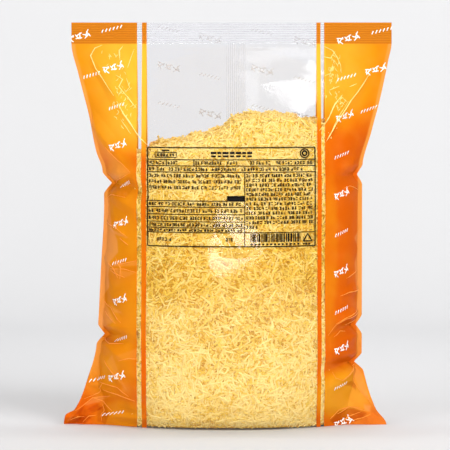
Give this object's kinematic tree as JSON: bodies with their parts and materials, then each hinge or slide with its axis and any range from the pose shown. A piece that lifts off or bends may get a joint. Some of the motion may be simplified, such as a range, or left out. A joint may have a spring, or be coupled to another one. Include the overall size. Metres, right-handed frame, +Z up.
{
  "type": "bag of shredded cheese",
  "caption": "Clear pillow bag of shredded cheese with orange side bands and a ribbed top seal, standing on its flattened bottom.",
  "frame": {"origin": "on the floor, under the middle of the bag's box", "axes": "+Z up the standing bag, -Y out of its front, +X to the right seen from the front"},
  "size_m": [0.308, 0.1238, 0.378],
  "materials": {
    "printed_film": "glossy clear film with printed orange bands",
    "clear_film": "glossy clear film",
    "cheese": "soft, slightly waxy shreds of yellow cheese",
    "white_print": "white ink under glossy film",
    "black_print": "black ink under glossy film"
  },
  "bodies": {
    "root": {"bag": "printed_film"}
  },
  "joints": []
}
